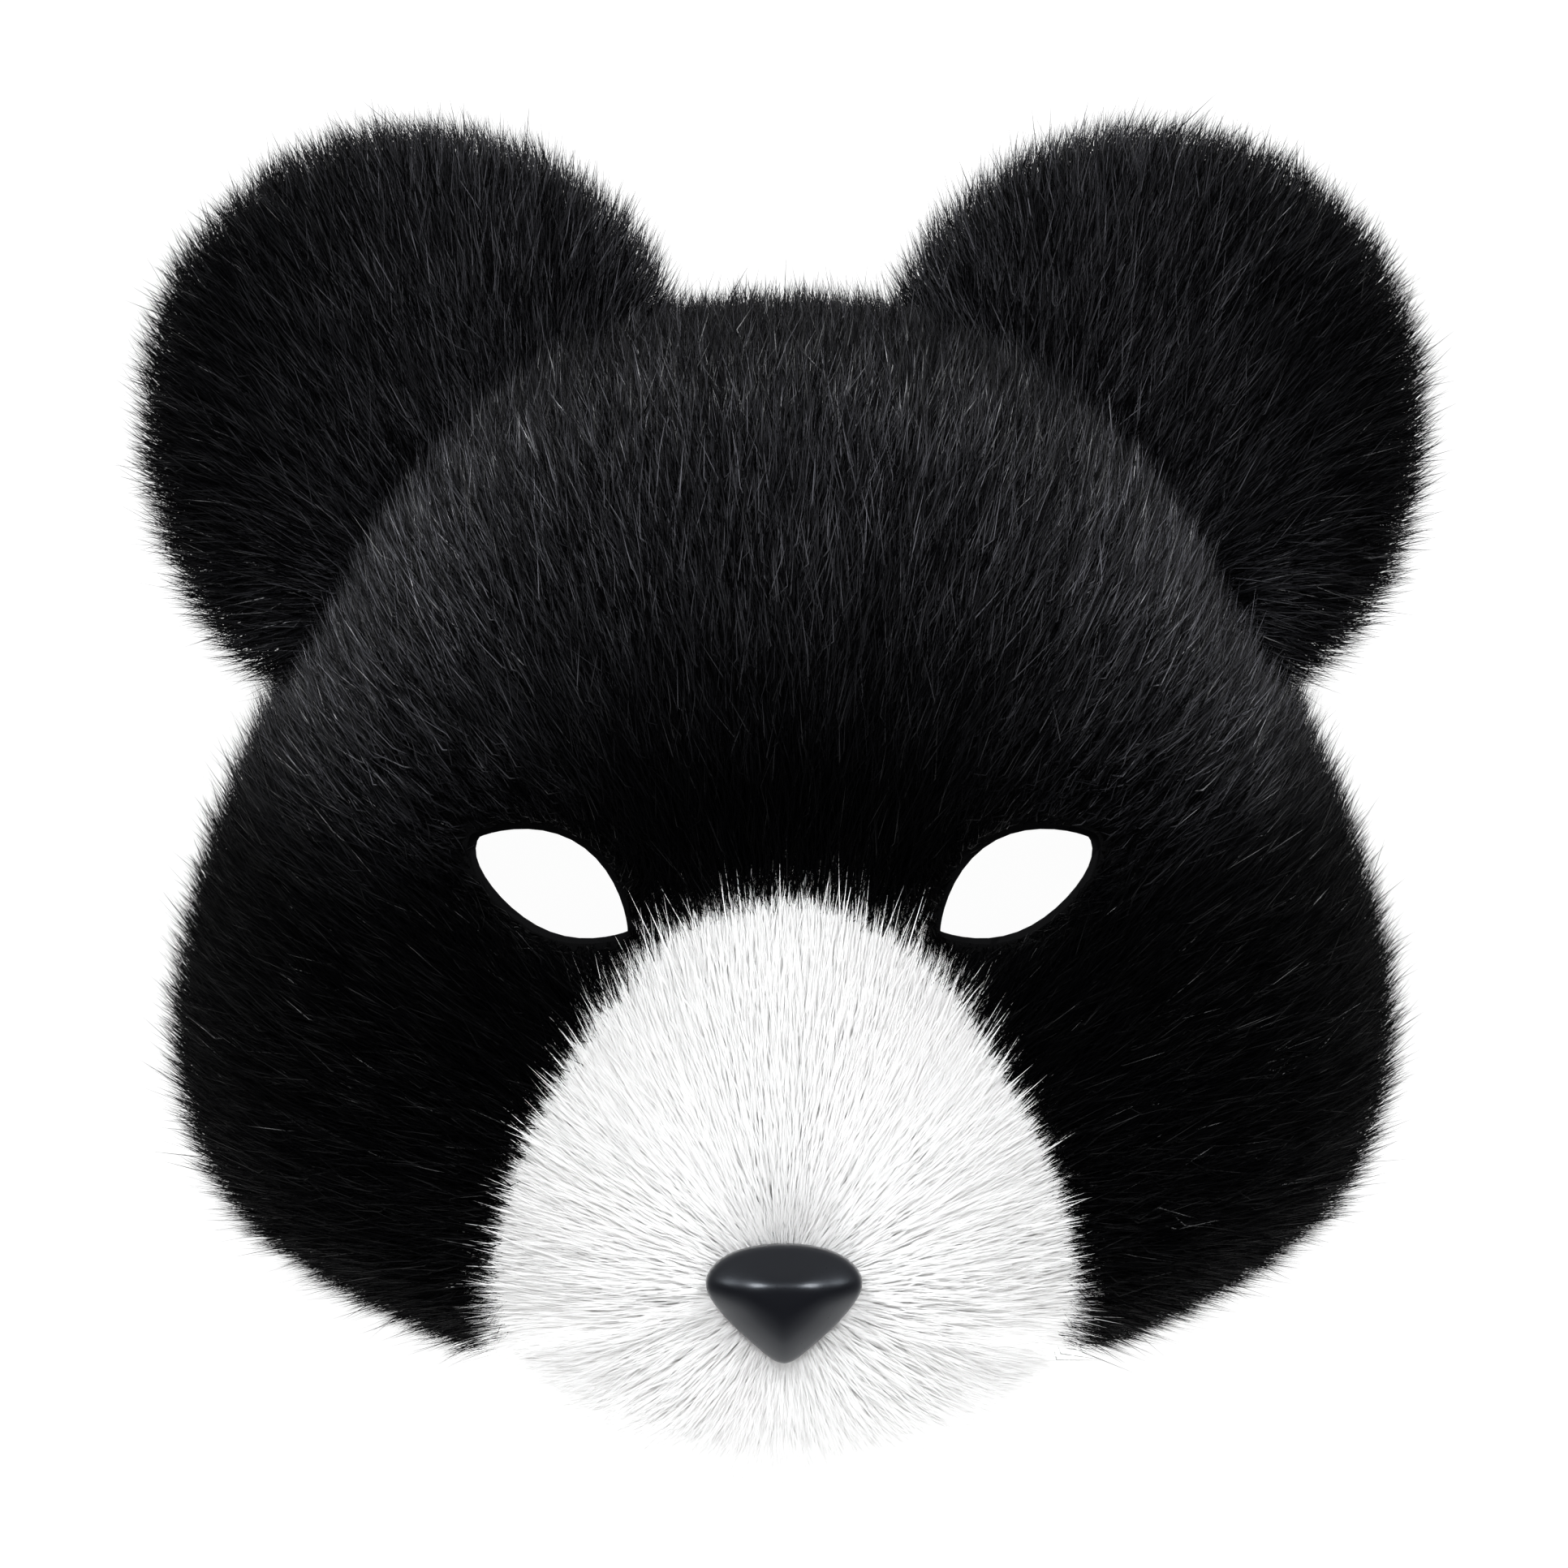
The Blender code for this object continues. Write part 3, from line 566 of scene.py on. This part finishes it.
def wayToWall(starts, ends, stop):
    # The share of each way that is free: one that enters the mask's wall stops short of it
    ways = ends - starts
    spans = np.linalg.norm(ways, axis=1)
    free = np.ones((len(starts), 1))
    for index, (start, way, span) in enumerate(zip(starts, ways, spans)):
        place, normal, face, reach = wallTree.ray_cast(start, way, span)
        if place is not None and normal.dot(way) < 0.0:
            free[index] = stop * reach / span
    return free


def growPile(name, roots, outward, plan, materials, chance):
    count = len(roots)
    comb = combField(roots, outward, plan)
    across = np.cross(outward, comb)
    wander = chance.normal(0.0, plan["wander"], count)[:, None]
    comb = unit(comb + across * wander)
    length = plan["length"] * chance.uniform(1.0 - plan["lengthSpread"], 1.0 + plan["lengthSpread"], count)
    long = chance.random(count) < plan["guardShare"]
    length = np.where(long, length * plan["guardLength"], length)
    length *= plan["trim"](roots, outward)
    stand = radians(plan["sideLift"]) * np.clip(1.0 - outward[:, 2], 0.0, 1.0)
    lift = radians(plan["lift"][0]) + stand + chance.normal(0.0, radians(plan["liftSpread"]), count)
    lay = radians(plan["lift"][1]) + stand + chance.normal(0.0, radians(plan["liftSpread"]), count)
    lift = np.where(long, lift + radians(6.0), lift)[:, None]
    lay = np.where(long, lay + radians(8.0), lay)[:, None]
    middle = (comb * np.cos(lift) + outward * np.sin(lift)) * (length * 0.45)[:, None]
    middle += across * (length * chance.normal(0.0, plan["wave"], count))[:, None]
    tip = middle + (comb * np.cos(lay) + outward * np.sin(lay)) * (length * 0.55)[:, None]

    # Tips gather into locks round a few chosen hairs
    leaders = chance.choice(count, size=max(count // plan["perLock"], 1), replace=False)
    tree = KDTree(len(leaders))
    for index, leader in enumerate(leaders):
        tree.insert(roots[leader], index)
    tree.balance()
    nearest = leaders[np.array([tree.find(root)[1] for root in roots])]
    gather = (plan["gather"] * chance.uniform(0.5, 1.0, count))[:, None]
    leaderTips = roots[nearest] + tip[nearest]
    loose = 1.0 - 0.75 * (np.linalg.norm(roots - roots[nearest], axis=1) / plan["lockReach"])
    gather = gather * np.clip(loose, 0.15, 1.0)[:, None]
    worldTip = roots + tip
    worldTip += (leaderTips - worldTip) * gather
    worldMiddle = roots + middle
    leaderMiddles = roots[nearest] + middle[nearest]
    worldMiddle += (leaderMiddles - worldMiddle) * gather * 0.35

    # Nothing hangs over an eye hole or goes below the floor
    for share in (1.0, 0.8, 0.6, 0.45):
        reach = roots + (worldTip - roots) * share
        over = eyeSpread(reach) < eyePlan["keepClear"]
        worldTip[over] = roots[over] + (worldTip[over] - roots[over]) * max(share - 0.2, 0.25)
        worldMiddle[over] = roots[over] + (worldMiddle[over] - roots[over]) * 0.7
    floor = 0.4 * mm
    worldTip[:, 2] = np.maximum(worldTip[:, 2], floor)
    worldMiddle[:, 2] = np.maximum(worldMiddle[:, 2], floor)

    # Nor does it run through the wall
    free = wayToWall(roots, worldMiddle, plan["wallStop"])
    worldTip = roots + (worldTip - roots) * free
    worldMiddle = roots + (worldMiddle - roots) * free
    worldTip = worldMiddle + (worldTip - worldMiddle) * wayToWall(worldMiddle, worldTip, plan["wallStop"])

    # A blade's width runs across the hair, turned about it by a chance angle
    blade = unit(worldTip - roots)
    flat = unit(np.cross(outward, blade))
    twist = chance.normal(0.0, radians(plan["twist"]), count)[:, None]
    wide = unit(flat * np.cos(twist) + np.cross(blade, flat) * np.sin(twist))
    width = plan["width"] * chance.uniform(0.6, 1.25, count)
    width = np.where(long, width * 0.8, width)[:, None] / 2.0
    sink = outward * plan["sink"]
    verts = np.stack([roots - sink - wide * width, roots - sink + wide * width,
                      worldMiddle + wide * width * 0.85, worldMiddle - wide * width * 0.85,
                      worldTip], axis=1).reshape(-1, 3)
    base = (np.arange(count) * 5)[:, None]
    quads = base + np.array([0, 1, 2, 3])
    tips = base + np.array([3, 2, 4])
    mesh = bpy.data.meshes.new(name)
    mesh.vertices.add(count * 5)
    mesh.vertices.foreach_set("co", verts.astype(np.float32).ravel())
    mesh.loops.add(count * 7)
    mesh.loops.foreach_set("vertex_index", np.hstack([quads, tips]).astype(np.int32).ravel())
    mesh.polygons.add(count * 2)
    starts = (np.arange(count) * 7)[:, None] + np.array([0, 4])
    mesh.polygons.foreach_set("loop_start", starts.astype(np.int32).ravel())
    mesh.update(calc_edges=True)
    mesh.validate()
    shade = mesh.attributes.new("shade", "FLOAT", "POINT")
    # The shade attribute is a random tone times the painted sheen, which lightens the pile's colour where light
    # would catch it
    paintedSheen = plan["paintedSheen"](roots)
    tone = chance.random(count) ** plan["shadePower"] * paintedSheen
    shade.data.foreach_set("value", np.repeat(tone, 5).astype(np.float32))
    along = mesh.attributes.new("along", "FLOAT", "POINT")
    along.data.foreach_set("value", np.tile(np.array([0.0, 0.0, 0.6, 0.6, 1.0]), count).astype(np.float32))
    mesh.shade_smooth()
    for material in materials:
        mesh.materials.append(material)
    # Glint hairs, with their lighter painted colour, are commoner where the painted sheen is
    bright = chance.random(count) < plan["glintShare"] * (0.1 + 0.9 * paintedSheen)
    mesh.polygons.foreach_set("material_index", np.repeat(bright * (len(materials) - 1), 2).astype(np.int32))
    obj = bpy.data.objects.new(name, mesh)
    scene.collection.objects.link(obj)
    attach(obj, "root")
    print(name, count, "hairs")
    return obj


def fullTrim(roots, outward):
    return np.ones(len(roots))


def faceTrim(roots, outward):
    # Shorter round the eyes
    spread = eyeSpread(roots)
    return np.clip(0.35 + 0.65 * (spread - 1.0) / 1.2, 0.35, 1.0)


def snoutTrim(roots, outward):
    # Short under the nose, full from its side outwards
    reach = np.hypot(roots[:, 0] - snoutTip.x, roots[:, 1] - snoutTip.y)
    turn = np.abs(np.arctan2(roots[:, 1] - snoutTip.y, np.abs(roots[:, 0])))
    edge = ease((reach - 20.0 * mm) / (14.0 * mm))
    sides = 0.12 * (1.0 - ease((turn - radians(14.0)) / radians(40.0))) * edge
    crown = 0.25 * ease((turn - radians(62.0)) / radians(20.0)) * edge * (roots[:, 1] > snoutTip.y)
    return np.clip(0.55 + 0.45 * (reach - 8.0 * mm) / (12.0 * mm), 0.55, 1.0) * (1.0 - sides + crown)


def facePaintedSheen(roots):
    # Painted sheen: the pile's colour is lighter over the forehead and along the dome's edge, where light catches
    # it, and painted shade keeps it black round the eyes and on the cheeks
    reach = np.hypot(roots[:, 0] - snoutTip.x, roots[:, 1] - snoutTip.y)
    turn = np.arctan2(roots[:, 1] - snoutTip.y, np.abs(roots[:, 0]))
    rise = ease((reach - 68.0 * mm) / (58.0 * mm)) * (1.0 - 0.5 * ease((reach - 124.0 * mm) / (26.0 * mm)))
    sides = 1.0 + 0.35 * ease((turn - radians(40.0)) / radians(10.0)) * ease((radians(74.0) - turn) / radians(12.0))
    return rise * sides * ease((turn - radians(36.0)) / radians(16.0))


def earPaintedSheen(roots):
    # Painted sheen: an ear's pile is lighter in colour towards the head, where light catches it
    return 0.08 + 0.8 * ease((98.0 * mm - np.abs(roots[:, 0])) / (50.0 * mm))


# The white pile gets no painted sheen: its random tone is the same all over
def snoutEvenSheen(roots):
    return np.ones(len(roots))


def evenDensity(middles, outward):
    return np.ones(len(middles))


def earDensity(middles, outward):
    # Fuller in front and at the rim than behind
    return np.where(outward[:, 2] < -0.4, 0.45, 1.0)


pilePlan = {
    "hang": 0.22,
    "length": 11.8 * mm,
    "lengthSpread": 0.25,
    "guardShare": 0.05,
    "guardLength": 1.25,
    "lift": (46.0, 5.0),
    "liftSpread": 9.0,
    "wave": 0.17,                 # how far a hair's middle stands aside, as a share of its length
    "glintShare": 0.45,
    "wander": 0.27,
    "perLock": 14,
    "lockReach": 2.0 * mm,
    "gather": 0.55,
    "twist": 42.0,
    "width": 0.22 * mm,
    "sink": 0.2 * mm,
    "wallStop": 0.9,              # share of its way to the mask's wall that a hair keeps
    "shadePower": 3.4,
    "sideLift": 30.0,             # how much more the pile stands out at the sides, in degrees
    "trim": faceTrim,
    "paintedSheen": facePaintedSheen,
    "faceHairs": 138000,
    "earHairs": 43500,
    "snoutHairs": 86000,
    "seed": 41,
}
hairShare = 1.0

chance = np.random.default_rng(pilePlan["seed"])
faceRoots, faceOutward = scatter(faceSkin, int(pilePlan["faceHairs"] * hairShare), evenDensity, chance)
turns = np.arctan2(faceRoots[:, 1] - snoutTip.y, np.abs(faceRoots[:, 0]))
zones = {
    "pileForehead": turns > radians(64.0),
    "pileCheekLeft": (turns <= radians(64.0)) & (faceRoots[:, 0] <= 0.0),
    "pileCheekRight": (turns <= radians(64.0)) & (faceRoots[:, 0] > 0.0),
}
for name, inside in zones.items():
    pile = growPile(name, faceRoots[inside], faceOutward[inside], pilePlan, (blackPile, blackGlint), chance)
    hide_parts("face_fur")

snoutPlan = dict(pilePlan, length=11.5 * mm, width=0.38 * mm, trim=snoutTrim, lift=(36.0, 8.0), shadePower=0.8, paintedSheen=snoutEvenSheen,
                 gather=0.05, twist=10.0, wander=0.13, wave=0.05, liftSpread=3.5)
snoutRoots, snoutOutward = scatter(muzzleSkin, int(pilePlan["snoutHairs"] * hairShare), evenDensity, chance)
upper = snoutRoots[:, 1] > snoutTip.y + 18.0 * mm
for name, inside in (("pileSnoutTop", upper), ("pileSnoutLow", ~upper)):
    pile = growPile(name, snoutRoots[inside], snoutOutward[inside], snoutPlan, (whitePile,), chance)
    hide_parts("muzzle_fur")

earPilePlan = dict(pilePlan, trim=fullTrim, paintedSheen=earPaintedSheen, lift=(44.0, 10.0), length=11.4 * mm, fan=1.1, fanReach=38.0 * mm)
for side, (skin, middle) in ears.items():
    roots, outward = scatter(skin, int(pilePlan["earHairs"] * hairShare), earDensity, chance)
    plan = dict(earPilePlan, fanFrom=tuple(middle))
    pile = growPile("pileEar" + side.capitalize(), roots, outward, plan, (blackPile, blackGlint), chance)
    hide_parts("ear_" + side)

# Floor, light and finish: a white light table under the mask, and soft boxes above it
stagePlan = {
    "floorHalf": 3.0,
    "floorGap": 0.05 * mm,        # keeps the floor off the rim's own face
    "floorColour": (0.12, 0.12, 0.12, 1.0),
    "floorGlow": 0.97,
    "boxAim": (0.0, -0.01, 0.05),
    "boxes": {                    # place, size, power
        "keyBoxLeft": ((-0.40, 0.62, 1.0), 0.28, 7.2),
        "keyBoxRight": ((0.40, 0.62, 1.0), 0.28, 7.2),
        "topBox": ((0.0, -0.1, 1.75), 0.9, 3.9),
        "lowBox": ((0.0, -1.3, 0.4), 1.2, 17.0),
    },
    "unmirrored": ("topBox", "lowBox"),    # lights the fur but leaves no image on the nose
    "boxColour": (0.97, 0.985, 1.0),
    "worldColour": (1.0, 1.0, 1.0, 1.0),
    "worldStrength": (0.80, 0.12),  # walls, and ceiling from worldTop up
    "worldTop": 0.75,
}


def addStage(plan):
    bm = bmesh.new()
    bmesh.ops.create_grid(bm, x_segments=1, y_segments=1, size=plan["floorHalf"])
    bmesh.ops.translate(bm, vec=(0.0, 0.0, -plan["floorGap"]), verts=bm.verts)
    mesh = bpy.data.meshes.new("floor")
    bm.to_mesh(mesh)
    bm.free()
    floor = bpy.data.objects.new("floor", mesh)
    scene.collection.objects.link(floor)
    material, nodes, links, shader = newMaterial("lightTable")
    shader.inputs["Base Color"].default_value = plan["floorColour"]
    shader.inputs["Roughness"].default_value = 0.9
    shader.inputs["Specular IOR Level"].default_value = 0.0
    shader.inputs["Emission Color"].default_value = (1.0, 1.0, 1.0, 1.0)
    shader.inputs["Emission Strength"].default_value = plan["floorGlow"]
    mesh.materials.append(material)


def addSoftBox(name, place, size, power, plan):
    data = bpy.data.lights.new(name, "AREA")
    data.shape = "SQUARE"
    data.size = size
    data.energy = power
    data.color = plan["boxColour"]
    lamp = bpy.data.objects.new(name, data)
    scene.collection.objects.link(lamp)
    lamp.location = place
    lamp.visible_glossy = name not in plan["unmirrored"]
    lamp.rotation_euler = (Vector(plan["boxAim"]) - Vector(place)).to_track_quat("-Z", "Y").to_euler()


addStage(stagePlan)
for name, (place, size, power) in stagePlan["boxes"].items():
    addSoftBox(name, place, size, power, stagePlan)
world = bpy.data.worlds.new("studio")
scene.world = world
world.use_nodes = True
nodes = world.node_tree.nodes
links = world.node_tree.links
direction = nodes.new("ShaderNodeTexCoord")
split = nodes.new("ShaderNodeSeparateXYZ")
dome = nodes.new("ShaderNodeMapRange")
dome.inputs["From Max"].default_value = stagePlan["worldTop"]
dome.inputs["To Min"].default_value = stagePlan["worldStrength"][0]
dome.inputs["To Max"].default_value = stagePlan["worldStrength"][1]
links.new(direction.outputs["Generated"], split.inputs["Vector"])
links.new(split.outputs["Z"], dome.inputs["Value"])
links.new(dome.outputs["Result"], nodes["Background"].inputs["Strength"])
nodes["Background"].inputs["Color"].default_value = stagePlan["worldColour"]
scene.view_settings.view_transform = "Standard"
print("stage set")
